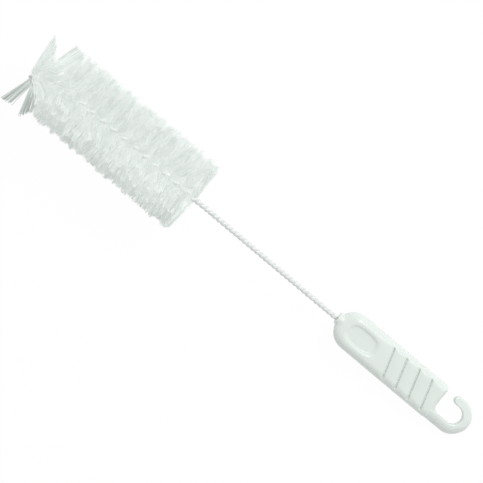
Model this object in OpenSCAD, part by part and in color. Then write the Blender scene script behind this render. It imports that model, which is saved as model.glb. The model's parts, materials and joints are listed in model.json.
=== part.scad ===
// Bottle brush: nylon bristles held in a twisted coated wire, with a moulded handle and hanging hook.
// The brush lies as it comes to rest, on its lowest bristles and on the underside of its handle.
// Each piece is shaped along X from the bend near the tip of the wire, and at_rest() lays it down.

/* [Overall] */
// Length from the bend near the tip of the wire to the end of the hook
brush_l = 351.5; // [320:0.5:380]

/* [Head] */
// Diameter across the trimmed bristles
head_d = 52.5; // [44:0.5:56]
// Distance from the bend to the first row of bristles
head_start = 12.5; // [12:0.1:14]
// Rows of bristles, one for each half turn of the wire
rows = 13; // [6:1:14]
// Length of wire that each row takes
row_l = 8.75; // [8:0.05:9]
// Thickness of the packed bristles where the wire grips them
nip_t = 0.4; // [0.3:0.05:0.5]
// Thickness of a row at its trimmed edge, measured round the wire
rim_t = 1.6; // [1.4:0.1:3]

/* [Wire] */
// Diameter of one coated strand
strand_d = 1.8; // [1.4:0.1:2]
// Length in which the bare wire makes one full turn
stem_turn = 7; // [6.5:0.5:12]
// How far the bend stands out to one side
bend_side = 8.9; // [0:0.1:10]
// How far the bend stands upwards
bend_up = 3; // [0:0.5:4]
// Length of the turned-back tip beyond the bend
tip_l = 3.5; // [2:0.5:5]

/* [Tip tuft] */
// Length of the longest bundle of bristles, from the wire outwards
tuft_l = 34.5; // [28:0.5:36]
// Thickness of a bundle of bristles
tuft_t = 0.6; // [0.4:0.1:0.8]

/* [Handle] */
// Length from the collar to the end of the hook
handle_l = 108.5; // [105:0.5:110]
// Length of the grip from the collar to the flat face beside the hook
grip_l = 83.5; // [82:0.5:85]
// Width of the grip
grip_w = 25.5; // [24:0.5:27]
// Thickness of the grip
grip_t = 12; // [11:0.5:13]
// Radius of the long edges of the grip
edge_r = 5; // [3:0.5:5.5]
// Diameter of the collar round the wire
collar_d = 8.5; // [7:0.5:9]
// Depth of the socket that holds the wire
socket_l = 27; // [20:1:32]

/* [Hook] */
// Outer radius of the hook
hook_outer_r = 12.4; // [12:0.1:13]
// Radius of the inside of the hook, where it hangs
hook_inner_r = 5.9; // [5.5:0.1:6.5]
// Thickness of the hook at its far end
hook_t = 6.3; // [5:0.1:6.4]
// Radius of the inner edges of the hook
hook_edge_r = 1.6; // [1:0.1:1.8]

/* [Hidden] */
$fn = 64;

// Head and wire
row_mid = head_start + row_l/2;
head_end = head_start + rows*row_l;
head_r = head_d/2;
strand_r = strand_d/2;
nip_clear = 0.1;
head_lay = strand_r + nip_t/2 + nip_clear;
stem_lay = strand_r + 0.03;
settle_l = 6;
tuft_root = head_lay + strand_r + 0.6;
wire_sides = 8;
turn_steps = 10;
row_steps = 36;
row_names = [for (i = [1 : rows]) str("bristle_row_", i)];

// Handle, along X from the face of its collar
collar_x = brush_l - handle_l;
collar_l = 8;
nose_gap = 0.9;
nose_x = nose_gap + grip_w/2;
side_x = 14;
side_r = 40;
rear_r = 2.5;
socket_r = strand_d + 0.15;
wire_end = collar_x + socket_l - strand_r;

// Thumb rest: a shallow dish with a recess in it, between an oval and a box in shape
dish_at = [20.9, 0.5];
dish_l = 30.4;
dish_w = 16.4;
dish_depth = 0.7;
recess_at = [20.9, 0.5];
recess_l = 22.8;
recess_w = 12;
recess_depth = 1.7;
recess_power = 2.8;

// Grip steps: slanted grooves across the grip
step_x = 43.4;
step_gap = 10.45;
steps = 4;
step_slant = 17.5;
step_w = 1.8;
step_depth = 0.9;

// Hook, with its inner circle set a little off its outer one
hook_x = handle_l - hook_outer_r;
hook_shift = 0.7;
arm_top = hook_shift - hook_inner_r;
finger_low = hook_shift + hook_inner_r;
finger_w = hook_outer_r - finger_low;
finger_l = 3;
fillet_r = 4.5;
hook_from = grip_l - rear_r;
hook_blank_t = grip_t - 0.1;
hook_spare = 1;
hook_taper = atan((hook_blank_t - hook_t)/2/(handle_l - hook_from));

// Rest: the last row's lowest bristles and the grip's rear lower edge touch the surface
touch_head_x = head_start + (rows - 0.5)*row_l;
touch_run = collar_x + grip_l - rear_r - touch_head_x;
touch_rise = head_r - grip_t/2 + rear_r;
touch_slant = sqrt(pow(touch_run, 2) + pow(touch_rise, 2));
tilt = atan2(touch_rise, touch_run) - asin(rear_r/touch_slant);
lift = touch_head_x*sin(tilt) + head_r*cos(tilt);
tuft_overhang = 8.88;
tuft_side_overhang = 4.46;
tip_rise = 1.5;
hook_tuck = 0.185;
middle_x = ((brush_l - tuft_overhang)*cos(tilt))/2 - hook_tuck;
middle_y = -tuft_side_overhang/2;

// Flat bundles of the tip tuft: name, side of the wire, and for its first and last bristle the
// place along the wire, the lean away from the tip and the length as a share of the longest
side_tufts = [
    ["tip_tuft_upper_left", 1, [-3.6, -0.3], [-9, 3], [0.82, 0.51]],
    ["tip_tuft_upper_right", 1, [0.6, 1.4], [9.5, 17], [1, 1]],
    ["tip_tuft_lower_left", -1, [-3.4, -0.6], [-15.3, -4.6], [0.65, 0.56]],
    ["tip_tuft_lower_right", -1, [-1.2, 3.5], [18, 25.4], [0.67, 0.5]],
];
// Bundles that fan out round the wire: name, turn about it from +Y, lean, length as a share
round_tufts = [
    ["tip_tuft_front", 90, 27, 0.73],
    ["tip_tuft_back", 270, 8, 0.75],
];
round_spread = 60;

nylon = "#dde6e1";
coating = "#e4e8e6";
moulding = "#d9e2dd";

function smooth(t) = let (u = min(1, max(0, t))) u*u*(3 - 2*u);
function unit(v) = v/norm(v);

// The line that the two strands wind about: straight, apart from its bend and turned-back tip
function wire_axis(x) =
    let (k = 1 - smooth(x/head_start))
    [x, tip_rise*pow(min(0, x)/tip_l, 2) - bend_side*k, bend_up*k];
function axis_dir(x) = unit(wire_axis(x + 0.05) - wire_axis(x - 0.05));

// Direction square to the wire, at an angle a about it from +Y
function square_dir(x, a) =
    let (t = axis_dir(x), n = unit([0, 1, 0] - t*t.y)) n*cos(a) + cross(t, n)*sin(a);

// Left-handed lay: half a turn for each row, then the closer turns of the bare wire
function lay_angle(x) =
    -180*(min(x, head_end) - row_mid)/row_l - 360*max(0, x - head_end)/stem_turn;
function lay_radius(x) = head_lay + (stem_lay - head_lay)*smooth((x - head_end)/settle_l);

// One strand, from the tip to the bottom of the socket, as pairs of point and outward direction
head_rings = ceil(turn_steps*(head_end + tip_l)/(2*row_l));
stem_rings = ceil(turn_steps*(wire_end - head_end)/stem_turn);
ring_x = concat(
    [for (i = [0 : head_rings - 1]) (head_end + tip_l)*i/head_rings - tip_l],
    [for (i = [0 : stem_rings]) head_end + (wire_end - head_end)*i/stem_rings]
);
function strand(half) = [
    for (x = ring_x) let (d = square_dir(x, lay_angle(x) + half)) [wire_axis(x) + lay_radius(x)*d, d]
];

// The fold that joins the strands at the tip
fold = [
    for (a = [22.5 : 22.5 : 157.5])
        let (d = square_dir(-tip_l, lay_angle(-tip_l))*cos(a) - axis_dir(-tip_l)*sin(a))
        [wire_axis(-tip_l) + head_lay*d, d]
];
function reversed(list) = [for (i = [len(list) - 1 : -1 : 0]) list[i]];

// A round tube along a list of pairs of point and outward direction
module tube(path, r, sides) {
    n = len(path);
    points = [
        for (i = [0 : n - 1])
            let (
                t = unit(path[min(i + 1, n - 1)][0] - path[max(i - 1, 0)][0]),
                out = unit(path[i][1] - t*(path[i][1]*t)),
                b = cross(t, out)
            )
            for (j = [0 : sides - 1]) path[i][0] + r*(out*cos(360*j/sides) + b*sin(360*j/sides))
    ];
    walls = [
        for (i = [0 : n - 2], j = [0 : sides - 1])
            let (a = i*sides + j, b = i*sides + (j + 1) % sides)
            each [[a, a + sides, b], [b, a + sides, b + sides]]
    ];
    caps = [[for (j = [0 : sides - 1]) j], [for (j = [sides - 1 : -1 : 0]) (n - 1)*sides + j]];
    polyhedron(points, concat(walls, caps), convexity = 20);
}

// Lays a piece of the brush on the surface
module at_rest() {
    translate([-middle_x, -middle_y, lift]) rotate([0, tilt, 0]) children();
}

// One wire, folded in half and twisted on itself
module twisted_wire() {
    color(coating) at_rest() tube(concat(reversed(strand(0)), fold, strand(180)), strand_r, wire_sides);
}

// The bristles of one half turn: straight filaments side by side through the wire, so that
// their ends follow a double helix
module bristle_row(i) {
    color(nylon) at_rest()
        translate([head_start + (i - 1)*row_l, 0, 0])
            rotate([0, 90, 0])
                linear_extrude(row_l, twist = 180, slices = row_steps, segments = 0, convexity = 4)
                    polygon([
                        [-nip_t/2, 0], [-rim_t/2, head_r], [rim_t/2, head_r],
                        [nip_t/2, 0], [rim_t/2, -head_r], [-rim_t/2, -head_r],
                    ]);
}

// A flat spray of bristles on one side of the wire, between its first bristle and its last
module side_tuft(side, at, lean, share) {
    function point(i, r) =
        [wire_axis(at[i]).x + r*sin(lean[i]), wire_axis(at[i]).y + side*r*cos(lean[i])];
    color(nylon) at_rest()
        translate([0, 0, wire_axis((at[0] + at[1])/2).z])
            linear_extrude(height = tuft_t, center = true)
                polygon([
                    point(0, tuft_root/cos(lean[0])), point(0, share[0]*tuft_l),
                    point(1, share[1]*tuft_l), point(1, tuft_root/cos(lean[1])),
                ]);
}

// A spray of bristles that fans out round the wire, with a slightly hollow cut at its end
module round_tuft(turn, lean, share) {
    r = share*tuft_l;
    half = round_spread/2;
    color(nylon) at_rest()
        translate(wire_axis(0))
            rotate([turn, 0, 0]) rotate([0, 0, -lean]) rotate([0, 90, 0])
                linear_extrude(height = tuft_t, center = true)
                    polygon([
                        [-0.5, tuft_root/cos(lean)], [-r*sin(half), r*cos(half)], [0, 0.9*r],
                        [r*sin(half), r*cos(half)], [0.5, tuft_root/cos(lean)],
                    ]);
}

// A rectangle with round corners, from its low corner to its high one
module round_rect(low, high, r) {
    translate([low.x + r, low.y]) square([high.x - low.x - 2*r, high.y - low.y]);
    translate([low.x, low.y + r]) square([high.x - low.x, high.y - low.y - 2*r]);
    for (x = [low.x + r, high.x - r], y = [low.y + r, high.y - r]) translate([x, y]) circle(r);
}

// A bar along X with a section drawn as [y, z]
module bar_along_x(from, to) {
    translate([from, 0, 0]) rotate([90, 0, 90]) linear_extrude(to - from) children();
}

// Outline of the grip seen from above: a round nose, long sides and square rear corners
module grip_plan() {
    translate([nose_x, 0]) circle(grip_w/2);
    translate([nose_x, -grip_w/2]) square([grip_w/2, grip_w]);
    round_rect([nose_x, -grip_w/2], [grip_l, grip_w/2], rear_r);
}

// Outline of the grip seen from the side, thinner at the nose
module grip_side() {
    intersection_for(side = [-1, 1])
        translate([side_x, side*(side_r - grip_t/2)]) circle(side_r, $fn = 128);
    translate([side_x, -grip_t/2]) square([side_x, grip_t]);
    round_rect([side_x, -grip_t/2], [grip_l, grip_t/2], rear_r);
}

module grip() {
    intersection() {
        linear_extrude(2*grip_t, center = true) grip_plan();
        bar_along_x(0, grip_l) round_rect([-grip_w/2, -grip_t/2], [grip_w/2, grip_t/2], edge_r);
        rotate([90, 0, 0]) linear_extrude(2*grip_w, center = true) grip_side();
    }
}

// Tools that cut one face of the grip: the face is at z = grip_t/2
module dish_cut() {
    across_r = (pow(dish_w/2, 2) + pow(dish_depth, 2))/(2*dish_depth);
    along_r = (pow(dish_l/2, 2) + pow(dish_depth, 2))/(2*dish_depth);
    swing = 2*dish_l/along_r*180/PI;
    translate([dish_at.x, dish_at.y, grip_t/2 - dish_depth + along_r])
        rotate([90, 90, 0]) rotate([0, 0, -swing/2]) rotate_extrude(angle = swing, $fn = 360)
            intersection() {
                translate([along_r - across_r, 0]) circle(across_r, $fn = 180);
                translate([along_r - 2*dish_depth, -dish_w]) square([3*dish_depth, 2*dish_w]);
            }
}

module recess_cut() {
    function squared(v) = sign(v)*pow(abs(v), 2/recess_power);
    translate([recess_at.x, recess_at.y, grip_t/2 - recess_depth])
        linear_extrude(grip_t)
            polygon([
                for (a = [0 : 8 : 352]) [recess_l/2*squared(cos(a)), recess_w/2*squared(sin(a))]
            ]);
}

module step_cut(i) {
    translate([step_x + i*step_gap, 0, grip_t/2])
        rotate([90, 0, step_slant]) linear_extrude(2*grip_w, center = true)
            polygon([[-step_w/2, 0], [-step_w/2, 1], [step_w/2, 1], [step_w/2, 0], [0, -step_depth]]);
}

// Section of the hook's blank, as [distance outwards, height], with a wide outer rounding
module hook_section(inner, outer) {
    intersection() {
        round_rect([-outer, -hook_blank_t/2], [outer, hook_blank_t/2], edge_r);
        round_rect([inner, -hook_blank_t/2], [2*outer, hook_blank_t/2], hook_edge_r);
    }
}

// The half ring of the hook, with the rounded mouths of its hole and a first, narrower hole
module hook_ring() {
    big = 2*hook_outer_r;
    mouth_r = hook_inner_r + hook_edge_r;
    translate([hook_x, 0, 0]) difference() {
        rotate([0, 0, -90]) rotate_extrude(angle = 180) hook_section(0, hook_outer_r);
        translate([0, hook_shift, 0]) rotate_extrude() {
            translate([0, -big]) square([hook_inner_r - hook_spare, 2*big]);
            for (side = [-1, 1]) difference() {
                translate([0, side*hook_blank_t/2 - hook_edge_r]) square([mouth_r, 2*hook_edge_r]);
                translate([mouth_r, side*(hook_blank_t/2 - hook_edge_r)]) circle(hook_edge_r);
                translate([0, side*(hook_blank_t/2 - 2*hook_edge_r) - hook_edge_r])
                    square([2*mouth_r, 2*hook_edge_r]);
            }
        }
    }
}

// The hook as thick as the grip: its ring, the arm on one side and the finger on the other
module hook_blank() {
    hook_ring();
    mirror([0, 1, 0]) bar_along_x(hook_from, hook_x) hook_section(-arm_top, hook_outer_r);
    intersection() {
        bar_along_x(hook_from, hook_x) hook_section(finger_low, hook_outer_r);
        linear_extrude(2*grip_t, center = true) {
            translate([hook_x - finger_l, 0]) square([finger_l, 2*hook_outer_r]);
            translate([hook_x - finger_l, finger_low + finger_w/2]) circle(finger_w/2);
        }
    }
}

// Each copy of the blank brings one tapered face of the hook. The hole is finished after that, so
// that its wall stays square to the hook.
module hook() {
    difference() {
        intersection_for(side = [-1, 1])
            translate([hook_from, 0, 0]) rotate([0, side*hook_taper, 0])
                translate([-hook_from, 0, 0]) hook_blank();
        translate([hook_x, hook_shift, -grip_t]) cylinder(r = hook_inner_r, h = 2*grip_t);
        translate([hook_x - hook_spare, arm_top, -grip_t])
            cube([hook_spare, 2*hook_inner_r, 2*grip_t]);
    }
}

// Concave fillet between the rear face of the grip and the arm of the hook
module hook_fillet() {
    translate([grip_l, arm_top, 0])
        linear_extrude(grip_t - 2*rear_r, center = true) difference() {
            translate([-1, -1]) square(fillet_r + 1);
            translate([fillet_r, fillet_r]) circle(fillet_r);
        }
}

module handle() {
    color(moulding) at_rest() translate([collar_x, 0, 0]) difference() {
        union() {
            grip();
            hook();
            hook_fillet();
            rotate([0, 90, 0]) cylinder(d = collar_d, h = collar_l);
        }
        translate([-1, 0, 0]) rotate([0, 90, 0]) cylinder(r = socket_r, h = socket_l + 1);
        for (face = [0, 1]) mirror([0, 0, face]) {
            dish_cut();
            recess_cut();
            for (i = [0 : steps - 1]) step_cut(i);
        }
    }
}

handle();
twisted_wire();
for (i = [1 : rows]) bristle_row(i);
for (t = side_tufts) side_tuft(t[1], t[2], t[3], t[4]);
for (t = round_tufts) round_tuft(t[1], t[2], t[3]);
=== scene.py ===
"""Bottle brush: the finished look of its moulded handle, twisted wire and nylon bristles."""

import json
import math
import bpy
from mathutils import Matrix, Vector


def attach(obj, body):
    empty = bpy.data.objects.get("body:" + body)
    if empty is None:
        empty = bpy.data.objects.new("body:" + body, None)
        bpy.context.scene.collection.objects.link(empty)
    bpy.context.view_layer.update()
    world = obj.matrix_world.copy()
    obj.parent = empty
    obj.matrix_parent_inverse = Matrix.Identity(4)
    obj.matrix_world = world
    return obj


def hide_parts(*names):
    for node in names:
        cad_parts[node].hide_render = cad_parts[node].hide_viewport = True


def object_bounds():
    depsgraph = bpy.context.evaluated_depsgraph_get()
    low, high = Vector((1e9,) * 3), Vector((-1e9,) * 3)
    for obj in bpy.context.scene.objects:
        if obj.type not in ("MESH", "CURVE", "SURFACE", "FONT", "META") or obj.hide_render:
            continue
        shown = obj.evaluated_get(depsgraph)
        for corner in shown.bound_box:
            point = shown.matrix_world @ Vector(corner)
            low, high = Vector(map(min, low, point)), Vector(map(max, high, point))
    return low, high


bl_info = {
    "name": "Bottle Brush",
    "version": (1, 0, 0),
    "blender": (4, 5, 0),
    "location": "3D View > Sidebar > Bottle Brush",
    "description": "Builds a twisted-wire bottle brush with a moulded handle round its packed frame",
    "category": "Add Mesh",
}

from typing import NamedTuple

import bmesh
import bpy
import numpy as np
import openvdb
from bpy.props import FloatProperty, FloatVectorProperty, IntProperty, PointerProperty
from mathutils import Euler, Matrix, Vector

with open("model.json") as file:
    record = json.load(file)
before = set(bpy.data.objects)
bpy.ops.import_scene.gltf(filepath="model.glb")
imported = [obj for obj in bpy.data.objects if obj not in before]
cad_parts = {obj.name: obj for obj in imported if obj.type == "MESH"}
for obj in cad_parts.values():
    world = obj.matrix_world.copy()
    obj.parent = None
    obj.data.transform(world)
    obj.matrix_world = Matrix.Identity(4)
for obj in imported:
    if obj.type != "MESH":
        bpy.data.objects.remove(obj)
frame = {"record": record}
CAD_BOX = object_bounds()

MM = 0.001
DEGREE = math.radians(1)
BODY = "root"

# The brush's own axes: along it from the bend near its tip, across it, and up from the grip's face
HOOK_MOUNT = next(m for m in frame["record"]["mounts"] if m["name"] == "hook")
UP = Vector(HOOK_MOUNT["axis"])
ACROSS = Vector((0, 1, 0))
ALONG = ACROSS.cross(UP)

HOOK_SHIFT = 0.7 * MM  # from the middle of the grip to the middle of the hook's inner circle


# ---------------------------------------------------------------- sizes and colours


def size(name, description, millimetres, **limits):
    """A length that a user may change, given in millimetres and kept in metres."""
    return FloatProperty(
        name=name, description=description, default=millimetres * MM, unit="LENGTH",
        subtype="DISTANCE", precision=5, **limits,
    )


def angle(name, description, degrees):
    return FloatProperty(
        name=name, description=description, default=math.radians(degrees), unit="ROTATION",
        subtype="ANGLE",
    )


def share(name, description, value):
    return FloatProperty(
        name=name, description=description, default=value, min=0.0, max=1.0, subtype="FACTOR",
    )


def colour(name, description, value):
    return FloatVectorProperty(
        name=name, description=description, default=value, min=0.0, max=1.0, size=3,
        subtype="COLOR",
    )


class HeadSettings(bpy.types.PropertyGroup):
    """The rows of bristles."""

    hook_reach: size("Bend to hook", "From the bend in the wire to the centre of the hook", 339.1)
    start: size("Start", "From the bend in the wire to the first row of bristles", 12.5)
    rows: IntProperty(name="Rows", description="Rows of bristles", default=13, min=1, max=14)
    row_length: size("Row length", "Length of wire that one row takes", 8.75)
    radius: size("Radius", "From the wire to the trimmed ends of the bristles", 27.9)
    filament: size("Filament", "Thickness of one bristle", 0.34)
    per_row: IntProperty(
        name="Bristles per row", description="Bristle ends in each row", default=950, min=10,
    )
    splay: angle("Splay", "Most that a bristle leans along the wire", 10)
    stray: angle("Stray", "Most that a bristle turns out of line about the wire", 42)
    last_lean: angle("Last lean", "How far the last bristles lean back towards the tip", 8.5)
    clump: share("Clumping", "How far the ends of the bristles gather into clumps", 0.15)
    taper: share("Taper", "How much lower a clump is at its sides, for each unit across it", 0.95)
    clump_size: size("Clump size", "Distance across one clump", 6.0)
    # Painted shade: darkens the ends of the bristles, most of all on the -Y side, away from the main
    # lamp
    end_shade: share("End shade", "How much darker the ends are, most of all on the -Y side", 0.2)
    tint: colour("Tint", "Colour of the nylon", (0.9, 1.0, 0.93))


class TuftSettings(bpy.types.PropertyGroup):
    """The splayed tuft at the tip."""

    bend_side: size("Side bend", "How far the bend in the wire stands out to one side", 8.9)
    bend_up: size("Upward bend", "How far the bend in the wire stands upwards", 3.0)
    tip_length: size("Tip", "Length of the turned-back tip beyond the bend", 3.5)
    tip_rise: size("Tip rise", "How far the tip turns back", 1.5)
    fullness: FloatProperty(
        name="Fullness", description="Multiplies the number of bristles in each bundle",
        default=1.0, min=0.1,
    )


class WireSettings(bpy.types.PropertyGroup):
    """The twisted wire."""

    strand: size("Strand", "Thickness of one coated strand", 1.8)
    stem_turn: size("Stem turn", "Length in which the bare wire makes one full turn", 7.0)
    settle: size("Settle", "Length in which the strands close up behind the head", 6.0)
    fill: size("Fill", "Thickness of the plastic that fills the stem between its strands", 2.8)
    tint: colour("Tint", "Colour of the plastic coating", (0.66, 0.685, 0.672))


class HandleSettings(bpy.types.PropertyGroup):
    """The moulded handle."""

    hook_reach: size("Collar to hook", "From the face of the collar to the centre of the hook", 96.1)
    grip_length: size("Grip length", "From the collar to the flat face beside the hook", 83.5)
    grip_width: size("Grip width", "Width of the grip", 25.5)
    grip_thickness: size("Grip thickness", "Thickness of the grip", 12.0)
    hook_outer: size("Hook outside", "Outer radius of the hook", 12.4)
    hook_inner: size("Hook inside", "Radius of the inside of the hook", 5.9)
    hook_thickness: size("Hook thickness", "Thickness of the hook at its far end", 6.3)
    edge: size("Edge radius", "Radius of the long edges and of the outside of the hook", 5.6)
    collar: size("Collar", "Diameter of the collar round the wire", 8.5)
    socket_depth: size("Socket depth", "Depth of the socket that holds the wire", 27.0)
    steps: IntProperty(name="Grip steps", description="Slanted steps across the grip", default=4)
    fineness: size("Fineness", "Distance between the points of the surface", 0.32)
    tint: colour("Tint", "Colour of the moulding", (0.662, 0.715, 0.677))


class StageSettings(bpy.types.PropertyGroup):
    """The floor, the lamps and the camera."""

    floor_shade: share("Floor shade", "How white the floor is", 0.92)
    floor_glow: share("Floor glow", "Share of the floor's white that takes no shadow", 0.97)
    sky: FloatProperty(name="Sky", description="Strength of the light from all round", default=0.74)
    lamp: FloatProperty(name="Lamp", description="Power of the main lamp, in watts", default=5.6)
    glint: FloatProperty(
        name="Glint", description="Power of the small lamp that edges shine in, in watts",
        default=2.6,
    )
    roll: angle("Roll", "Turn of the brush in the picture, down to the right", 40)
    distance: FloatProperty(
        name="Distance", description="From the camera to the floor", default=6.0, unit="LENGTH",
    )
    view_width: FloatProperty(
        name="View width", description="Width of the picture at the brush", default=0.3062,
        unit="LENGTH", precision=4,
    )
    aim: FloatVectorProperty(
        name="Aim", description="From the middle of the brush to the middle of the picture",
        default=(-0.0059, 0.0007), size=2, unit="LENGTH", subtype="TRANSLATION", precision=4,
    )


SETTINGS = {
    "brush_head": HeadSettings,
    "brush_tuft": TuftSettings,
    "brush_wire": WireSettings,
    "brush_handle": HandleSettings,
    "brush_stage": StageSettings,
}


# ---------------------------------------------------------------- placing and finishing a piece


def resting_matrix(scene):
    """Takes the brush's own axes, with the bend in the wire over the origin, to where it lies."""
    bend = Vector(HOOK_MOUNT["pos_m"]) - ALONG * scene.brush_head.hook_reach
    bend.y -= HOOK_SHIFT
    matrix = Matrix((ALONG, ACROSS, UP)).transposed().to_4x4()
    matrix.translation = bend
    return matrix


def new_piece(name, mesh, material, slot, *nodes, clear=False):
    """Adds a mesh as a piece of the brush that stands for the named nodes."""
    mesh.name = name
    mesh.materials.clear()
    mesh.materials.append(material)
    piece = bpy.data.objects.new(name, mesh)
    bpy.context.scene.collection.objects.link(piece)
    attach(piece, BODY)
    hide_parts(*nodes)
    # Clear nylon doesn't hold back the light from all round
    piece.visible_diffuse = not clear
    return piece


def smooth_step(t):
    t = np.clip(t, 0.0, 1.0)
    return t * t * (3.0 - 2.0 * t)


# ---------------------------------------------------------------- nodes


def new_node(tree, kind, feeds=None, **settings):
    """A node whose inputs, by name or number, are fed from sockets or plain values."""
    node = tree.nodes.new(kind)
    for key, setting in settings.items():
        setattr(node, key, setting)
    for key, feed in (feeds or {}).items():
        if isinstance(feed, bpy.types.NodeSocket):
            tree.links.new(feed, node.inputs[key])
        else:
            node.inputs[key].default_value = feed
    return node


def math_node(tree, operation, *terms):
    """The result of one Math node."""
    return new_node(tree, "ShaderNodeMath", dict(enumerate(terms)), operation=operation).outputs[0]


# ---------------------------------------------------------------- materials


class Surface:
    """A material with one Principled shader, whose plain sockets are set from the settings."""

    def __init__(self, name, tint, **settings):
        self.material = bpy.data.materials.new(name)
        self.material.use_nodes = True
        self.tree = self.material.node_tree
        self.inputs = self.tree.nodes["Principled BSDF"].inputs
        self.inputs["Base Color"].default_value = (*tint, 1.0)
        for socket, value in settings.items():
            self.inputs[socket.replace("_", " ")].default_value = value

    def feed(self, socket, output):
        """Links an output to a socket of the shader."""
        self.tree.links.new(output, self.inputs[socket])

    def carried(self, name):
        """The named value that the mesh carries."""
        return new_node(self.tree, "ShaderNodeAttribute", attribute_name=name).outputs["Fac"]

    def noise(self, scale, detail):
        """A soft noise that stays with the piece."""
        place = new_node(self.tree, "ShaderNodeTexCoord").outputs["Object"]
        feeds = {"Vector": place, "Scale": scale, "Detail": detail}
        return new_node(self.tree, "ShaderNodeTexNoise", feeds).outputs["Fac"]

    def shades(self, mix, dark, light, low=0.0, high=1.0):
        """A colour that goes from dark to light as the mix goes from low to high."""
        node = new_node(self.tree, "ShaderNodeValToRGB", {"Fac": mix})
        first, last = node.color_ramp.elements
        first.position, first.color = low, dark
        last.position, last.color = high, light
        return node.outputs["Color"]

    def mottle(self, scale, dark, light):
        """A colour that wanders between two shades with a soft noise."""
        return self.shades(self.noise(scale, 3.0), dark, light, low=0.3, high=0.7)


def scaled(tint, factor):
    return (*(min(1.0, channel * factor) for channel in tint), 1.0)


def nylon_material(tint):
    """Pale filaments, in clumps of slightly different shades, with painted shade in their tone and a
    faint painted glow.
    """
    # Painted light: the nylon glows faintly in its own tint, standing in for the light that clear
    # nylon passes through the head
    nylon = Surface(
        "nylon_filament", tint, Roughness=0.42, IOR=1.53,
        Emission_Color=(*tint, 1.0), Emission_Strength=0.07,
    )
    tone = nylon.carried("filament")
    nylon.feed("Base Color", nylon.shades(tone, scaled(tint, 0.4), scaled(tint, 1.04)))
    return nylon.material


def coating_material(tint):
    """The smooth white plastic coat of the wire, faintly uneven, with a painted glow where the nylon
    is round it.
    """
    coat = Surface(
        "wire_coating", tint, Roughness=0.35, IOR=1.46, Emission_Color=(*tint, 1.0),
    )
    coat.feed("Base Color", coat.mottle(220.0, scaled(tint, 0.95), scaled(tint, 1.04)))

    # Painted light: in the head the coat glows, standing in for the light that the nylon passes on,
    # and more on its +Y side, where the main lamp is
    glow, glow_to_lamp = 0.31, 0.16
    normal = new_node(coat.tree, "ShaderNodeNewGeometry").outputs["Normal"]
    facing = new_node(coat.tree, "ShaderNodeSeparateXYZ", {0: normal}).outputs["Y"]
    lit = math_node(coat.tree, "MULTIPLY_ADD", facing, glow_to_lamp, glow)
    coat.feed("Emission Strength", math_node(coat.tree, "MULTIPLY", lit, coat.carried("painted_glow_share")))
    return coat.material


def moulding_material(tint):
    """Glossy moulded plastic with a soft clouding and a faintly wavy skin."""
    moulding = Surface(
        "moulded_plastic", tint, Roughness=0.34, IOR=1.42, Coat_Weight=0.4, Coat_Roughness=0.12,
    )
    moulding.feed("Base Color", moulding.mottle(45.0, scaled(tint, 0.975), scaled(tint, 1.02)))
    feeds = {"Height": moulding.noise(160.0, 2.0), "Distance": 0.08 * MM}
    moulding.feed("Normal", new_node(moulding.tree, "ShaderNodeBump", feeds).outputs["Normal"])
    return moulding.material


# ---------------------------------------------------------------- geometry node trees


class Tree:
    """A geometry node tree being built: inputs by name, nodes fed from sockets or plain values."""

    def __init__(self, name, inputs):
        self.group = bpy.data.node_groups.new(name, "GeometryNodeTree")
        new_socket = self.group.interface.new_socket
        new_socket("Geometry", in_out="INPUT", socket_type="NodeSocketGeometry")
        new_socket("Geometry", in_out="OUTPUT", socket_type="NodeSocketGeometry")
        for label, kind in inputs.items():
            new_socket(label, in_out="INPUT", socket_type="NodeSocket" + kind)
        self.given = self.group.nodes.new("NodeGroupInput").outputs
        self.sink = self.group.nodes.new("NodeGroupOutput")

    def add(self, kind, feeds=None, **settings):
        return new_node(self.group, kind, feeds, **settings)

    def sum(self, operation, *terms):
        return math_node(self.group, operation, *terms)

    def join(self, operation, *terms, scale=1.0):
        """The vector that one Vector Math node gives."""
        feeds = {**dict(enumerate(terms)), 3: scale}
        return self.add("ShaderNodeVectorMath", feeds, operation=operation).outputs[0]

    def vector(self, x=0.0, y=0.0, z=0.0):
        return self.add("ShaderNodeCombineXYZ", {0: x, 1: y, 2: z}).outputs[0]

    def component(self, vector, axis):
        """One of the three numbers of a vector."""
        return self.add("ShaderNodeSeparateXYZ", {0: vector}).outputs[axis]

    def rotation(self, x=0.0, y=0.0):
        return self.add("FunctionNodeEulerToRotation", {0: self.vector(x, y)}).outputs[0]

    def radius(self, place):
        """Distance from the X axis."""
        y, z = self.component(place, "Y"), self.component(place, "Z")
        return self.sum("SQRT", self.sum("MULTIPLY_ADD", y, y, self.sum("MULTIPLY", z, z)))

    def store(self, geometry, name, kind, domain, value):
        """Geometry that carries a named value."""
        return self.add(
            "GeometryNodeStoreNamedAttribute",
            {"Geometry": geometry, "Name": name, "Value": value}, data_type=kind, domain=domain,
        ).outputs[0]

    def carried(self, name, kind="FLOAT"):
        """The named value that the geometry carries."""
        return self.add("GeometryNodeInputNamedAttribute", {"Name": name}, data_type=kind).outputs[0]

    def drawn(self, low, high, offset):
        """A random number for each point, the same for the same seed and offset."""
        seed = self.sum("ADD", self.given["Seed"], offset)
        return self.add("FunctionNodeRandomValue", {2: low, 3: high, 8: seed}).outputs[1]

    def swept(self, curve, resolution, radius):
        """A closed round bar along a curve."""
        feeds = {"Resolution": resolution, "Radius": radius}
        ring = self.add("GeometryNodeCurvePrimitiveCircle", feeds).outputs[0]
        feeds = {"Curve": curve, "Profile Curve": ring, "Fill Caps": True}
        return self.add("GeometryNodeCurveToMesh", feeds).outputs[0]

    def finish(self, geometry):
        """The whole tree, which ends with smooth shading and its material."""
        smooth = self.add("GeometryNodeSetShadeSmooth", {"Geometry": geometry}).outputs[0]
        feeds = {"Geometry": smooth, "Material": self.given["Material"]}
        finished = self.add("GeometryNodeSetMaterial", feeds).outputs[0]
        self.group.links.new(finished, self.sink.inputs[0])
        return self.group


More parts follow.
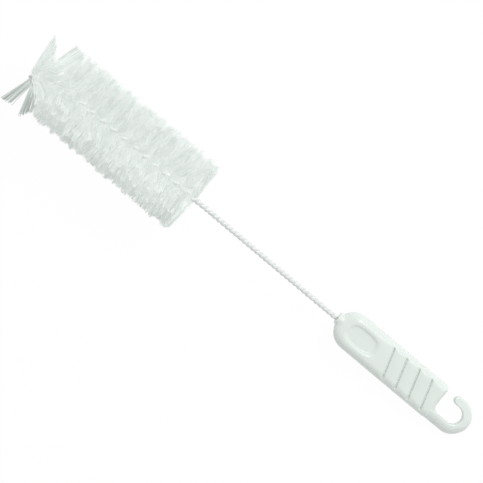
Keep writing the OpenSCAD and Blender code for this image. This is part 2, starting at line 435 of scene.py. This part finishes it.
def run_tree(name, tree, values, base=None):
    """The mesh that a tree makes from these input values."""
    carrier = bpy.data.objects.new(name, base or bpy.data.meshes.new(name))
    bpy.context.scene.collection.objects.link(carrier)
    modifier = carrier.modifiers.new("nodes", "NODES")
    modifier.node_group = tree
    for item in tree.interface.items_tree:
        if item.in_out == "INPUT" and item.name in values:
            modifier[item.identifier] = values[item.name]
    carrier.update_tag()
    graph = bpy.context.evaluated_depsgraph_get()
    mesh = bpy.data.meshes.new_from_object(carrier.evaluated_get(graph), depsgraph=graph)
    carrier.modifiers.remove(modifier)
    bpy.data.objects.remove(carrier)
    return mesh


# ---------------------------------------------------------------- one spray of bristles

# Turn by, Lean by and Length by are the changes from the first bristle to the last. The shift
# moves the pattern of clumps, so that sprays side by side can share one.
SPRAY_INPUTS = {
    "Count": "Int", "Arms": "Int", "Run": "Vector",
    "Turn": "Float", "Turn by": "Float", "Stray": "Float", "Stray power": "Float",
    "Lean": "Float", "Lean by": "Float", "Splay": "Float",
    "Length": "Float", "Length by": "Float", "Thickness": "Float",
    "Clump": "Float", "Taper": "Float", "Clump size": "Float", "Shift": "Vector",
    "Shade": "Float", "Shade range": "Float", "Fade": "Float", "End shade": "Float",
    "Seed": "Int", "Material": "Material",
}

BEND_POWER = 1.6  # a bristle is nearly straight at its root and bends most at its end
CLUMP_TONE = 0.9  # how much a clump's own tone counts, beside one for the bristle's own
SHORTEST = 0.985  # the shortest bristle of a spray, as a share of its length


def spray_tree():
    """Bristles side by side along a short line, in one or two arms, whose ends gather in clumps."""
    t = Tree("bristle_spray", SPRAY_INPUTS)
    bristles, clump_tone = gather_ends(t, plant_bristles(t))
    bristles = tone_bristles(t, bristles, clump_tone)
    for name in ("height", "way", "end"):
        feeds = {"Geometry": bristles, "Name": name}
        bristles = t.add("GeometryNodeRemoveAttribute", feeds).outputs[0]
    return t.finish(bristles)


def unit_bristle(t):
    """One bristle, standing on Z, a unit long and two thick, that carries its height."""
    line = t.add("GeometryNodeCurvePrimitiveLine", {"Start": (0, 0, 0), "End": (0, 0, 1)})
    curve = t.add("GeometryNodeResampleCurve", {"Curve": line.outputs[0], "Count": 5})
    height = t.component(t.add("GeometryNodeInputPosition").outputs[0], "Z")
    return t.store(t.swept(curve.outputs[0], 4, 1.0), "height", "FLOAT", "POINT", height)


def point_bristles(t, index, part):
    """Turns each bristle square to the wire, then leans it along the wire and strays it round."""
    given = t.given
    arm = t.sum("MULTIPLY", t.sum("MODULO", index, given["Arms"]), math.pi)
    turn = t.sum("ADD", t.sum("MULTIPLY_ADD", part, given["Turn by"], given["Turn"]), arm)
    astray = t.sum("POWER", t.drawn(-1.0, 1.0, 2), given["Stray power"])
    turn = t.sum("ADD", turn, t.sum("MULTIPLY", astray, given["Stray"]))
    lean = t.sum("MULTIPLY_ADD", part, given["Lean by"], given["Lean"])
    lean = t.sum("MULTIPLY_ADD", t.drawn(-1.0, 1.0, 3), given["Splay"], lean)
    about_wire = t.rotation(x=t.sum("SUBTRACT", turn, math.pi / 2))
    feeds = {0: about_wire, 1: t.rotation(y=lean)}
    return t.add("FunctionNodeRotateRotation", feeds, rotation_space="LOCAL").outputs[0]


def plant_bristles(t):
    """Straight bristles on the wire, each with a random tone, its way and where it ends."""
    given = t.given
    index = t.add("GeometryNodeInputIndex").outputs[0]
    part = t.sum("DIVIDE", t.sum("ADD", index, t.drawn(0.0, 1.0, 1)), given["Count"])
    root = t.join("SCALE", given["Run"], scale=part)
    points = t.add("GeometryNodePoints", {"Count": given["Count"], "Position": root}).outputs[0]
    pointed = point_bristles(t, index, part)
    reach = t.sum("MULTIPLY_ADD", part, given["Length by"], given["Length"])
    reach = t.sum("MULTIPLY", reach, t.drawn(SHORTEST, 1.0, 4))
    half = t.sum("MULTIPLY", given["Thickness"], 0.5)
    feeds = {
        "Points": points, "Instance": unit_bristle(t), "Rotation": pointed,
        "Scale": t.vector(half, half, reach),
    }
    placed = t.add("GeometryNodeInstanceOnPoints", feeds).outputs[0]
    way = t.add("FunctionNodeRotateVector", {0: (0, 0, 1), 1: pointed}).outputs[0]
    end = t.join("ADD", root, t.join("SCALE", way, scale=reach))
    placed = t.store(placed, "filament", "FLOAT", "INSTANCE", t.drawn(0.0, 1.0, 5))
    placed = t.store(placed, "way", "FLOAT_VECTOR", "INSTANCE", way)
    placed = t.store(placed, "end", "FLOAT_VECTOR", "INSTANCE", end)
    return t.add("GeometryNodeRealizeInstances", {"Geometry": placed}).outputs[0]


def gather_ends(t, bristles):
    """Bends the bristles towards the middle of their clumps, and shortens them at its sides."""
    given = t.given
    way = t.carried("way", "FLOAT_VECTOR")
    end = t.carried("end", "FLOAT_VECTOR")
    density = t.sum("DIVIDE", 1.0, given["Clump size"])
    feeds = {"Vector": t.join("ADD", end, given["Shift"]), "Scale": density}
    cells = t.add("ShaderNodeTexVoronoi", feeds).outputs
    centre = t.join("SUBTRACT", cells["Position"], given["Shift"])
    trim = t.sum("MINIMUM", 1.0, t.sum("DIVIDE", given["Length"], t.radius(centre)))
    centre = t.join("MULTIPLY", centre, t.vector(1.0, trim, trim))
    bend = t.sum("POWER", t.carried("height"), BEND_POWER)
    aside = t.join("SUBTRACT", centre, end)
    away = t.add("ShaderNodeVectorMath", {0: aside}, operation="LENGTH").outputs["Value"]
    shift = t.join("SCALE", aside, scale=t.sum("MULTIPLY", bend, given["Clump"]))
    shortening = t.sum("MULTIPLY", t.sum("MULTIPLY", bend, given["Taper"]), away)
    shift = t.join("SUBTRACT", shift, t.join("SCALE", way, scale=shortening))
    gathered = t.add("GeometryNodeSetPosition", {"Geometry": bristles, "Offset": shift}).outputs[0]
    return gathered, t.component(cells["Color"], "X")


def tone_bristles(t, bristles, clump_tone):
    """Stores each bristle's tone, from its own and its clump's, darker towards its end, with painted
    shade on the side away from the lamp.
    """
    given = t.given
    height = t.carried("height")
    own = t.sum("ADD", t.carried("filament"), t.sum("MULTIPLY", CLUMP_TONE, clump_tone))
    own = t.sum("DIVIDE", own, 1 + CLUMP_TONE)
    tone = t.sum("MULTIPLY_ADD", own, given["Shade range"], given["Shade"])
    tone = t.sum("SUBTRACT", tone, t.sum("MULTIPLY", height, given["Fade"]))

    # Painted shade: the end shade darkens the bristles that point away from the lamp, most near
    # their ends, and it also darkens the tips of all of them
    side_power, side_rise, tip_rise, tip_weight = 3.0, 2.0, 8.0, 0.3
    side = t.component(t.carried("way", "FLOAT_VECTOR"), "Y")
    away = t.sum("POWER", t.sum("MAXIMUM", 0.0, t.sum("MULTIPLY", side, -1.0)), side_power)
    away = t.sum("MULTIPLY", away, t.sum("POWER", height, side_rise))
    tips = t.sum("MULTIPLY", t.sum("POWER", height, tip_rise), tip_weight)
    shade = t.sum("MULTIPLY", t.sum("ADD", away, tips), given["End shade"])
    return t.store(bristles, "filament", "FLOAT", "POINT", t.sum("SUBTRACT", tone, shade))


def lay_down(mesh, matrix):
    """Lays a mesh where the brush rests; ends that would go into the surface bend along it."""
    mesh.transform(matrix)
    points = np.empty(len(mesh.vertices) * 3, dtype=np.float32)
    mesh.vertices.foreach_get("co", points)
    points[2::3] = np.maximum(points[2::3], 0.0)
    mesh.vertices.foreach_set("co", points)
    mesh.update()


# ---------------------------------------------------------------- bristles

# Tones, from dark at zero to pale at one: the darkest bristle, the range up to the palest, and how
# much darker they get towards their ends
ROW_TONE = {"Shade": 0.64, "Shade range": 0.5, "Fade": 0.0}
CLEAR_TONE = {"Shade": 0.75, "Shade range": 0.25, "Fade": 0.0}
# Painted shade: the lower bundles of the tuft are a darker copy of the nylon, darkest towards their
# ends, as if in the shade of the rest
PAINTED_SHADE_TONE = {"Shade": 0.55, "Shade range": 0.75, "Fade": 0.6}

STRAY_POWER = 5.0  # an odd power: most of a row's bristles stay in line, and a few stray far
SEED_STEP = 10  # more than the random numbers that one bristle draws
TUFT_SEED = 500


def head_end(head):
    """From the bend in the wire to the end of the last row of bristles."""
    return head.start + head.rows * head.row_length


def wire_point(scene, x):
    """A point on the line that the strands wind about: straight, apart from its bend and tip."""
    tuft = scene.brush_tuft
    bent = 1.0 - float(smooth_step(x / scene.brush_head.start))
    rise = tuft.tip_rise * (min(0.0, x) / tuft.tip_length) ** 2
    return Vector((x, rise - tuft.bend_side * bent, tuft.bend_up * bent))


class BRUSH_OT_head(bpy.types.Operator):
    """Builds the rows of bristles, one for each half turn of the wire"""

    bl_idname = "brush.head"
    bl_label = "Bristle Rows"

    def execute(self, context):
        head = context.scene.brush_head
        tree = spray_tree()
        nylon = nylon_material(head.tint)
        rest = resting_matrix(context.scene)
        for row in range(1, head.rows + 1):
            start = Vector((head.start + (row - 1) * head.row_length, 0, 0))
            last = row == head.rows
            values = {
                "Count": head.per_row, "Arms": 2, "Run": (head.row_length, 0.0, 0.0),
                "Turn": math.pi, "Turn by": -math.pi,
                "Stray": head.stray, "Stray power": STRAY_POWER,
                "Lean": 0.0, "Lean by": -head.last_lean if last else 0.0,
                "Splay": head.splay / 2 if last else head.splay,
                "Length": head.radius, "Length by": 0.0, "Thickness": head.filament,
                "Clump": head.clump, "Taper": head.taper, "Clump size": head.clump_size,
                "Shift": start, **ROW_TONE, "End shade": head.end_shade,
                "Seed": SEED_STEP * row, "Material": nylon,
            }
            mesh = run_tree("bristles", tree, values)
            lay_down(mesh, rest @ Matrix.Translation(start))
            name = f"bristles_{row:02d}"
            new_piece(name, mesh, nylon, "nylon", f"bristle_row_{row}", clear=True)
        return {"FINISHED"}


class Bundle(NamedTuple):
    """A bundle of the tip tuft. Its pairs are for its first and last bristles, its angles are in
    degrees, and its lengths in millimetres."""

    node: str
    count: int
    turn: tuple  # about the wire, from +Y
    fan: float  # most that a bristle turns out of line about the wire
    place: tuple  # along the wire, from its bend
    lean: tuple  # along the wire, away from its tip
    splay: float  # most that a bristle leans out of line along the wire
    length: tuple
    clump: float
    clump_size: float
    # Bundles that are not clear stop the light from all round, and take the painted-shade tone
    clear: bool = True
    end_shade: float = 0.0


BUNDLES = (
    Bundle("tip_tuft_upper_left", 150, (0, 0), 12, (-6.2, -0.3), (-6, 4), 1.5, (27.5, 17.9),
           clump=0.25, clump_size=4.0, end_shade=0.5),
    Bundle("tip_tuft_upper_right", 280, (0, 0), 12, (-2.4, 4.0), (13.3, 18), 1.5, (35.4, 31.5),
           clump=0.3, clump_size=4.0, end_shade=0.5),
    Bundle("tip_tuft_lower_left", 80, (180, 180), 3, (-3.8, -0.6), (-16, -5), 0.6, (23.4, 19.5),
           clump=0.7, clump_size=1.7, clear=False),
    Bundle("tip_tuft_lower_right", 140, (180, 180), 4, (-1.7, 2.8), (17, 27), 0.6, (24.0, 17.0),
           clump=0.7, clump_size=1.7, clear=False),
    Bundle("tip_tuft_front", 640, (45, 130), 60, (-5.2, 6.0), (5, 58), 5.0, (17.0, 26.0),
           clump=0.3, clump_size=5.0),
    Bundle("tip_tuft_back", 320, (300, 205), 25, (-4.0, 6.0), (0, 48), 5.0, (24.0, 20.0),
           clump=0.3, clump_size=5.0),
)


def first_and_change(pair, unit):
    """The first of two values, and the change from it to the last."""
    first, last = pair
    return first * unit, (last - first) * unit


class BRUSH_OT_tuft(bpy.types.Operator):
    """Builds the bundles of the splayed tuft at the tip of the wire"""

    bl_idname = "brush.tuft"
    bl_label = "Tip Tuft"

    def execute(self, context):
        scene = context.scene
        tree = bpy.data.node_groups["bristle_spray"]
        nylon = bpy.data.materials["nylon_filament"]
        rest = resting_matrix(scene)
        shift = Vector((-0.05, 0, 0))  # gives each bundle other clumps
        for number, bundle in enumerate(BUNDLES):
            start, end = (wire_point(scene, place * MM) for place in bundle.place)
            turn, turn_by = first_and_change(bundle.turn, DEGREE)
            lean, lean_by = first_and_change(bundle.lean, DEGREE)
            length, length_by = first_and_change(bundle.length, MM)
            values = {
                "Count": int(bundle.count * scene.brush_tuft.fullness), "Arms": 1,
                "Run": end - start,
                "Turn": turn, "Turn by": turn_by, "Stray": bundle.fan * DEGREE, "Stray power": 1.0,
                "Lean": lean, "Lean by": lean_by, "Splay": bundle.splay * DEGREE,
                "Length": length, "Length by": length_by, "Thickness": scene.brush_head.filament,
                "Clump": bundle.clump, "Taper": 0.0, "Clump size": bundle.clump_size * MM,
                "Shift": shift * number,
                **(CLEAR_TONE if bundle.clear else PAINTED_SHADE_TONE), "End shade": bundle.end_shade,
                "Seed": TUFT_SEED + SEED_STEP * number, "Material": nylon,
            }
            mesh = run_tree("bristles", tree, values)
            lay_down(mesh, rest @ Matrix.Translation(start))
            name = bundle.node.replace("tip_", "")
            new_piece(name, mesh, nylon, "nylon", bundle.node, clear=bundle.clear)
        return {"FINISHED"}


# ---------------------------------------------------------------- wire

HEAD_LAY = 1.2 * MM  # from the middle of the wire to the middle of a strand, round the bristles
STEM_LAY = 0.93 * MM  # the same in the bare stem
STEPS_PER_ROW = 12  # points along a strand in the length of one row
STEPS_PER_TURN = 24  # and in one turn of the stem


def rope_tree():
    """A round strand along the curve that it is given."""
    t = Tree("coated_strand", {"Strand": "Float", "Material": "Material"})
    curve = t.add("GeometryNodeMeshToCurve", {0: t.given["Geometry"]}).outputs[0]
    return t.finish(t.swept(curve, 12, t.sum("MULTIPLY", t.given["Strand"], 0.5)))


def lay_angle(scene, x):
    """Turn of the first strand about the wire: half a turn for each row, then closer turns."""
    head = scene.brush_head
    first = head.start + head.row_length / 2
    turns = (min(x, head_end(head)) - first) / (2 * head.row_length)
    turns += max(0.0, x - head_end(head)) / scene.brush_wire.stem_turn
    return -2 * math.pi * turns


def strand_points(scene, half):
    """Points along one strand from the tip of the wire to the bottom of the handle's socket."""
    tip = -scene.brush_tuft.tip_length
    head = scene.brush_head
    wire = scene.brush_wire
    stem = head_end(head)
    socket = head.hook_reach - scene.brush_handle.hook_reach + scene.brush_handle.socket_depth
    head_steps = int(STEPS_PER_ROW * (stem - tip) / head.row_length)
    stem_steps = int(STEPS_PER_TURN * (socket - stem) / wire.stem_turn)
    places = np.concatenate([
        np.linspace(tip, stem, head_steps, endpoint=False),
        np.linspace(stem, socket - wire.strand / 2, stem_steps),
    ])
    nudge = 0.01 * MM
    points = []
    for x in places:
        along = (wire_point(scene, x + nudge) - wire_point(scene, x - nudge)).normalized()
        side = Vector((0, 1, 0))
        side = (side - along * side.dot(along)).normalized()
        up = along.cross(side)
        closed = float(smooth_step((x - stem) / wire.settle))
        lay = HEAD_LAY + (STEM_LAY - HEAD_LAY) * closed
        turn = lay_angle(scene, x) + half
        points.append(wire_point(scene, x) + lay * (side * math.cos(turn) + up * math.sin(turn)))
    return points


def wire_path(scene):
    """Points along the whole wire: up one strand, round the fold at the tip and down the other."""
    first = strand_points(scene, 0.0)
    second = strand_points(scene, math.pi)
    middle = (first[0] + second[0]) / 2
    side = first[0] - middle
    back = Vector((-side.length, 0, 0))
    fold = [
        middle + side * math.cos(a) + back * math.sin(a)
        for a in np.linspace(0, math.pi, 9)[1:-1]
    ]
    return first[::-1] + fold + second


def rope(name, tree, points, thickness, material):
    """A round strand through the points."""
    line = bpy.data.meshes.new(name + "_path")
    line.from_pydata(points, [(i, i + 1) for i in range(len(points) - 1)], [])
    return run_tree(name, tree, {"Strand": thickness, "Material": material}, line)


def mark_painted_glow(mesh, head):
    """Stores one on the wire between the bristles of the head, and zero outside it: where the coat
    has its painted glow.
    """
    rise, fall = 20, 40  # the mark rises over 1/20 of the head's length and falls over 1/40
    points = np.empty(len(mesh.vertices) * 3, dtype=np.float32)
    mesh.vertices.foreach_get("co", points)
    part = (points[::3] - head.start) / (head.rows * head.row_length)
    painted_glow_share = smooth_step(part * rise) * smooth_step((1 - part) * fall)
    mesh.attributes.new("painted_glow_share", "FLOAT", "POINT").data.foreach_set("value", painted_glow_share)


class BRUSH_OT_wire(bpy.types.Operator):
    """Builds the wire, folded in half at its tip and twisted on itself"""

    bl_idname = "brush.wire"
    bl_label = "Twisted Wire"

    def execute(self, context):
        scene = context.scene
        head, wire = scene.brush_head, scene.brush_wire
        tree = rope_tree()
        coating = coating_material(wire.tint)
        path = wire_path(scene)
        mesh = rope("wire", tree, path, wire.strand, coating)

        # The plastic between the strands, from just inside the head to the bottom of the socket
        overlap = 1.5 * MM
        ends = [(head_end(head) - overlap, 0, 0), (path[-1].x, 0, 0)]
        both = bmesh.new()
        both.from_mesh(mesh)
        both.from_mesh(rope("fill", tree, ends, wire.fill, coating))
        both.to_mesh(mesh)
        both.free()

        mark_painted_glow(mesh, head)
        mesh.transform(resting_matrix(scene))
        new_piece("wire", mesh, coating, "coated_wire", "twisted_wire")
        return {"FINISHED"}


# ---------------------------------------------------------------- handle

# The distances below are in millimetres, with x from the face of the collar along the handle,
# y across it and z up from its middle plane

SOFT = 0.3  # how far a soft edge reaches


def round_box_2d(x, y, centre, half, radius):
    """Signed distance to a rectangle whose corner radius may differ from place to place."""
    qx = np.abs(x - centre[0]) - half[0] + radius
    qy = np.abs(y - centre[1]) - half[1] + radius
    outside = np.hypot(np.maximum(qx, 0), np.maximum(qy, 0))
    return np.minimum(np.maximum(qx, qy), 0) + outside - radius


def rounded_slab(plan, z, half, radius):
    """Signed distance to a slab with this plan, half thickness and edge radius."""
    qx = plan + radius
    qz = np.abs(z) - half + radius
    outside = np.hypot(np.maximum(qx, 0), np.maximum(qz, 0))
    return np.minimum(np.maximum(qx, qz), 0) + outside - radius


def soft_union(a, b, reach):
    h = np.maximum(reach - np.abs(a - b), 0) / reach
    return np.minimum(a, b) - h * h * reach / 4


def soft_cut(a, b, reach):
    """Where both hold: the shape a, cut by the shape b, with a soft edge."""
    return -soft_union(-a, -b, reach)


def squared_radius(x, y, power):
    """Distance from the middle of an oval whose edge is at one, between an ellipse and a box."""
    return (np.abs(x) ** power + np.abs(y) ** power) ** (1 / power)


def thumb_rest(x, y):
    """Depth of the soft-edged recess in the grip's face, with a low lip above it."""
    middle, reach, squareness = (20.4, -0.3), (14.4, 8.0), 2.8
    depth, rise = 1.35, 0.25  # and how much less deep it is on the side of the lip
    floor, side, side_power = 0.62, 0.36, 1.6  # parts of the way to the rim
    lip_height, lip_place, lip_width = 0.34, 1.08, 0.12
    upper = smooth_step(y / 6.0)
    rim = squared_radius((x - middle[0]) / reach[0], (y - middle[1]) / reach[1], squareness)
    lip = lip_height * np.exp(-(((rim - lip_place) / lip_width) ** 2)) * upper
    return (depth - rise * upper) * (1 - smooth_step((rim - floor) / side)) ** side_power - lip


def grip_steps(x, y, count):
    """Depth of the slanted steps: narrow grooves in faces that fall towards them."""
    first, pitch, slant = 42.8, 10.45, math.radians(17.5)
    groove, groove_width = 1.3, 0.48
    fall, fall_width = 0.5, 2.8
    top, top_fade = 10.0, 2.0
    bottom, bottom_fade = 11.8, 3.0
    along = (x + y * math.tan(slant) - first) / pitch
    off = (along - np.clip(np.round(along), 0, count - 1)) * pitch * math.cos(slant)
    depth = groove * np.exp(-((off / groove_width) ** 2)) + fall * np.exp(-((off / fall_width) ** 2))
    return depth * smooth_step((top - y) / top_fade) * smooth_step((y + bottom) / bottom_fade)


def hook_distance(x, y, z, settings):
    """Signed distance to the hook: a ring on the right, with an arm below it on the left and a
    round-ended finger above it. It is as thick as the grip where it starts, and tapers."""
    length, edge = settings.grip_length / MM, settings.edge / MM
    outer, inner = settings.hook_outer / MM, settings.hook_inner / MM
    hook_x, shift = settings.hook_reach / MM, HOOK_SHIFT / MM
    arm_top, finger_low = shift - inner, shift + inner
    hx = x - hook_x

    # Half its thickness, which tapers along the hook and up the finger
    overlap, inset = 2.5, 0.05
    finger_taper, taper_from = 0.15, 4
    start = length - overlap
    root, end = settings.grip_thickness / MM / 2 - inset, settings.hook_thickness / MM / 2
    half = root + (end - root) * np.clip((x - start) / (hook_x + outer - start), 0, 1)
    half = half - finger_taper * np.maximum(y - taper_from, 0)

    # The edges are rounder on the arm than on the finger
    arm_edge, edge_loss = edge + 0.4, 4.4
    outer_edge = arm_edge - edge_loss * smooth_step((y + 9) / 15)
    inner_edge = 1.4 - 0.5 * smooth_step(y / 6)
    out = np.where(hx > 0, np.hypot(hx, y) - outer, np.abs(y) - outer)
    inside = np.where(y < 0, y - arm_top, finger_low - y)
    inside = np.where(hx > 0, inner - np.hypot(hx, y - shift), inside)
    hook = np.maximum(
        rounded_slab(out, z, half, outer_edge),
        rounded_slab(inside, z, half, inner_edge),
    )

    finger_reach, finger_edge = 3, 1.3
    finger_y, finger_r = (finger_low + outer) / 2, (outer - finger_low) / 2
    tip = np.hypot(np.minimum(hx + finger_reach, 0), y - finger_y) - finger_r
    finger = rounded_slab(tip, z, half, finger_edge)
    tail = np.where(y < 0, start - x, np.where(hx < -finger_reach, finger, -outer))
    hook = np.maximum(hook, tail)

    # The round corner between the arm and the flat face of the grip, sunk a little into both
    fillet, fillet_edge, sink, lower = 4.5, 1.6, 2, 0.2
    fx, fy = x - length - fillet, y - arm_top - fillet
    corner = np.maximum(fillet - np.hypot(fx, fy), np.maximum(fx, fy))
    corner = np.maximum(corner, np.maximum(length - sink - x, arm_top - sink - y))
    return np.minimum(hook, rounded_slab(corner, z, half - lower, fillet_edge))


def grip_distance(x, y, z, settings):
    """Signed distance to the grip: round-nosed, thinner at its nose, with its recess and steps."""
    length, width = settings.grip_length / MM, settings.grip_width / MM
    thick, edge = settings.grip_thickness / MM, settings.edge / MM
    nose, nose_run, nose_drop, nose_power = 0.9, 14.0, 2.2, 1.5
    corner, end_edge, flank = 3.0, 2.6, 0.2
    middle = ((nose + length) / 2, 0)
    box = ((length - nose) / 2, width / 2)
    half = thick / 2 - nose_drop * (1 - smooth_step((x - nose) / nose_run)) ** nose_power

    # Only the end beside the hook has sharper edges: it cuts off a longer shape with round sides
    long_box = (box[0] + width, box[1])
    sides = round_box_2d(x, y, (middle[0] + width, 0), long_box, width / 2)
    corners = round_box_2d(x, y, middle, box, np.where(x < length / 2, width / 2, corner))
    grip = np.maximum(
        rounded_slab(sides, z, half, np.minimum(edge, half - flank)),
        rounded_slab(corners, z, half, end_edge),
    )
    grip = soft_cut(grip, np.abs(z) - thick / 2 + thumb_rest(x, y), SOFT)
    return grip + grip_steps(x, y, settings.steps)


def handle_distance(x, y, z, settings):
    """Signed distance to the whole handle."""
    whole = soft_union(grip_distance(x, y, z, settings), hook_distance(x, y, z, settings), SOFT)

    # Collar round the wire, a little to one side of it, and the socket that the wire goes into
    collar_y, collar_half, collar_edge, collar_blend = 0.8, 4.0, 0.5, 0.8
    collar = np.hypot(y - collar_y, z) - settings.collar / MM / 2
    collar = rounded_slab(collar, x - collar_half, collar_half, collar_edge)
    whole = soft_union(whole, collar, collar_blend)
    socket_radius = 1.95
    socket = rounded_slab(np.hypot(y, z) - socket_radius, x, settings.socket_depth / MM, SOFT)
    return soft_cut(whole, -socket, SOFT)


def settle_on_surface(points, settings):
    """Moves points the last fraction of a step onto the surface, along its slope."""
    rounds, nudge, furthest, least_steep = 3, 0.02, 0.15, 0.25
    for _ in range(rounds):
        x, y, z = points.T
        here = handle_distance(x, y, z, settings)
        slope = np.stack([
            handle_distance(x + nudge, y, z, settings) - here,
            handle_distance(x, y + nudge, z, settings) - here,
            handle_distance(x, y, z + nudge, settings) - here,
        ], axis=1) / nudge
        steep = np.maximum((slope ** 2).sum(axis=1), least_steep)
        points = points - np.clip(here / steep, -furthest, furthest)[:, None] * slope
    return points


class BRUSH_OT_handle(bpy.types.Operator):
    """Builds the moulded handle as the surface of a distance field"""

    bl_idname = "brush.handle"
    bl_label = "Moulded Handle"

    def execute(self, context):
        settings = context.scene.brush_handle
        step = settings.fineness / MM
        margin = 1.5
        half_width, half_thick = settings.grip_width / MM / 2, settings.grip_thickness / MM / 2
        low = np.array([-margin, -half_width - margin, -half_thick - margin])
        high = -low
        high[0] = (settings.hook_reach + settings.hook_outer) / MM + margin
        axes = [np.arange(a, b, step) for a, b in zip(low, high)]
        x, y, z = np.meshgrid(*axes, indexing="ij", sparse=True)
        field = handle_distance(x, y, z, settings)
        grid = openvdb.FloatGrid()
        grid.copyFromArray(field.astype(np.float32))
        points, quads = grid.convertToQuads(0.0)
        points = settle_on_surface(low + points * step, settings)
        mesh = bpy.data.meshes.new("handle")
        mesh.from_pydata(points * MM, [], quads[:, ::-1].tolist())
        mesh.shade_smooth()
        mesh.validate()
        collar_x = context.scene.brush_head.hook_reach - settings.hook_reach
        mesh.transform(resting_matrix(context.scene) @ Matrix.Translation((collar_x, 0, 0)))
        moulding = moulding_material(settings.tint)
        new_piece("handle_moulding", mesh, moulding, "moulding", "handle")
        return {"FINISHED"}


# ---------------------------------------------------------------- stage


def floor_material(shade, glow):
    """A white floor: part of its white is its own, and the rest takes the light and the shadow."""
    material = bpy.data.materials.new("white_floor")
    material.use_nodes = True
    tree = material.node_tree
    tree.nodes.clear()
    ray = new_node(tree, "ShaderNodeLightPath").outputs
    seen = math_node(tree, "MAXIMUM", ray["Is Camera Ray"], ray["Is Glossy Ray"])
    seen = math_node(tree, "MAXIMUM", seen, ray["Is Transmission Ray"])
    share_glowing = math_node(tree, "MULTIPLY", seen, glow)
    lit = new_node(tree, "ShaderNodeBsdfDiffuse", {"Color": (shade, shade, shade, 1)}).outputs[0]
    glowing = new_node(tree, "ShaderNodeEmission", {"Strength": 1.0}).outputs[0]
    mix = new_node(tree, "ShaderNodeMixShader", {0: share_glowing, 1: lit, 2: glowing}).outputs[0]
    new_node(tree, "ShaderNodeOutputMaterial", {"Surface": mix})
    return material


def add_floor(scene, half_width):
    corners = [
        (-half_width, -half_width, 0), (half_width, -half_width, 0),
        (half_width, half_width, 0), (-half_width, half_width, 0),
    ]
    mesh = bpy.data.meshes.new("floor")
    mesh.from_pydata(corners, [], [(0, 1, 2, 3)])
    stage = scene.brush_stage
    mesh.materials.append(floor_material(stage.floor_shade, stage.floor_glow))
    floor = bpy.data.objects.new("floor", mesh)
    scene.collection.objects.link(floor)


def add_sky(scene):
    world = bpy.data.worlds.new("sky")
    world.use_nodes = True
    background = world.node_tree.nodes["Background"]
    background.inputs["Color"].default_value = (1, 1, 1, 1)
    background.inputs["Strength"].default_value = scene.brush_stage.sky
    scene.world = world


def add_lamp(scene, name, middle, towards, width, power):
    """A round lamp one metre away, facing the middle of the brush."""
    data = bpy.data.lights.new(name, "AREA")
    data.shape = "DISK"
    data.size = width
    data.energy = power
    lamp = bpy.data.objects.new(name, data)
    way = Vector(towards).normalized()
    lamp.location = middle + way
    lamp.rotation_euler = way.to_track_quat("Z", "Y").to_euler()
    scene.collection.objects.link(lamp)
    return lamp


def add_camera(scene, middle):
    """A camera straight above the brush."""
    stage = scene.brush_stage
    data = bpy.data.cameras.new("camera")
    data.sensor_width = 36.0
    data.lens = data.sensor_width * stage.distance / stage.view_width
    camera = bpy.data.objects.new("camera", data)
    camera.location = (middle.x + stage.aim[0], middle.y + stage.aim[1], stage.distance)
    camera.rotation_euler = Euler((0, 0, stage.roll))
    scene.collection.objects.link(camera)
    scene.camera = camera


class BRUSH_OT_stage(bpy.types.Operator):
    """Sets up the white floor, the soft light and the camera"""

    bl_idname = "brush.stage"
    bl_label = "Stage"

    def execute(self, context):
        scene = context.scene
        stage = scene.brush_stage
        low, high = (Vector(corner) for corner in CAD_BOX)
        middle = (low + high) / 2
        add_floor(scene, half_width=3.0)
        add_sky(scene)
        main = add_lamp(
            scene, "main_lamp", middle, towards=(0.27, 0.85, 1.0), width=0.6, power=stage.lamp,
        )
        main.visible_glossy = False
        glint = add_lamp(
            scene, "glint_lamp", middle, towards=(0.1, 0.55, 1.0), width=0.3, power=stage.glint,
        )
        glint.visible_diffuse = False
        add_camera(scene, middle)
        scene.view_settings.view_transform = "Standard"
        return {"FINISHED"}


# ---------------------------------------------------------------- panel and running


class BRUSH_PT_panel(bpy.types.Panel):
    """Lists the pieces of the brush and their sizes"""

    bl_label = "Bottle Brush"
    bl_idname = "BRUSH_PT_panel"
    bl_space_type = "VIEW_3D"
    bl_region_type = "UI"
    bl_category = "Bottle Brush"

    def draw(self, context):
        for name, operator in zip(SETTINGS, OPERATORS):
            box = self.layout.box()
            box.operator(operator.bl_idname)
            for prop in SETTINGS[name].__annotations__:
                box.prop(getattr(context.scene, name), prop)


OPERATORS = (BRUSH_OT_head, BRUSH_OT_tuft, BRUSH_OT_wire, BRUSH_OT_handle, BRUSH_OT_stage)


def register():
    for name, settings in SETTINGS.items():
        bpy.utils.register_class(settings)
        setattr(bpy.types.Scene, name, PointerProperty(type=settings))
    for operator in OPERATORS:
        bpy.utils.register_class(operator)
    bpy.utils.register_class(BRUSH_PT_panel)


def unregister():
    bpy.utils.unregister_class(BRUSH_PT_panel)
    for operator in reversed(OPERATORS):
        bpy.utils.unregister_class(operator)
    for name, settings in SETTINGS.items():
        delattr(bpy.types.Scene, name)
        bpy.utils.unregister_class(settings)


def main():
    register()
    bpy.ops.brush.head()
    bpy.ops.brush.tuft()
    bpy.ops.brush.wire()
    bpy.ops.brush.handle()
    bpy.ops.brush.stage()
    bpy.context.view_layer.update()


if __name__ == "__main__":
    main()
